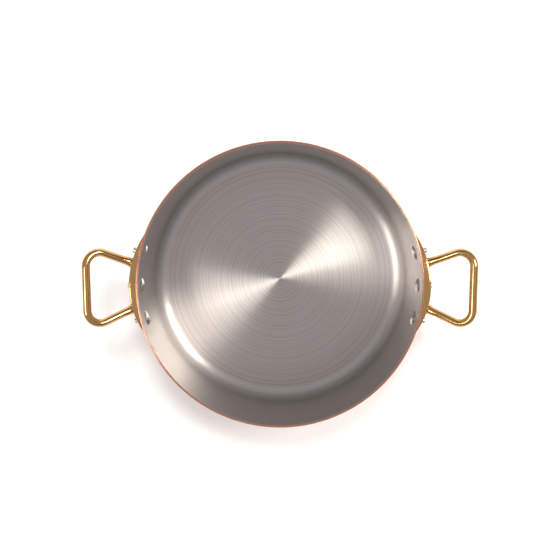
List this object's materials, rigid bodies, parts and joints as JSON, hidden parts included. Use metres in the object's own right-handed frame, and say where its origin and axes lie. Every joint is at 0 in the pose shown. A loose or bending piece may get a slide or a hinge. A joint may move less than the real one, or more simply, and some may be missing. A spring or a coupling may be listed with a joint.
{
  "type": "two-handled saute pan",
  "caption": "Open round saute pan with near-upright walls, a steel lining in a copper shell, and riveted brass loop handles on opposite sides.",
  "frame": {"origin": "centre of the underside of the pan", "axes": "+Z out of the opening, +X along the line through the handles"},
  "size_m": [0.3294, 0.244, 0.0844],
  "materials": {
    "copper": "satin copper",
    "brushed_steel": "circular brushed",
    "brass": "polished",
    "rivet_steel": "polished"
  },
  "bodies": {
    "root": {"copper_shell": "copper", "steel_lining": "brushed_steel", "handle_left": "brass", "handle_right": "brass", "rivet_left_front": "rivet_steel", "rivet_left_middle": "rivet_steel", "rivet_left_back": "rivet_steel", "rivet_right_front": "rivet_steel", "rivet_right_middle": "rivet_steel", "rivet_right_back": "rivet_steel"}
  },
  "joints": []
}
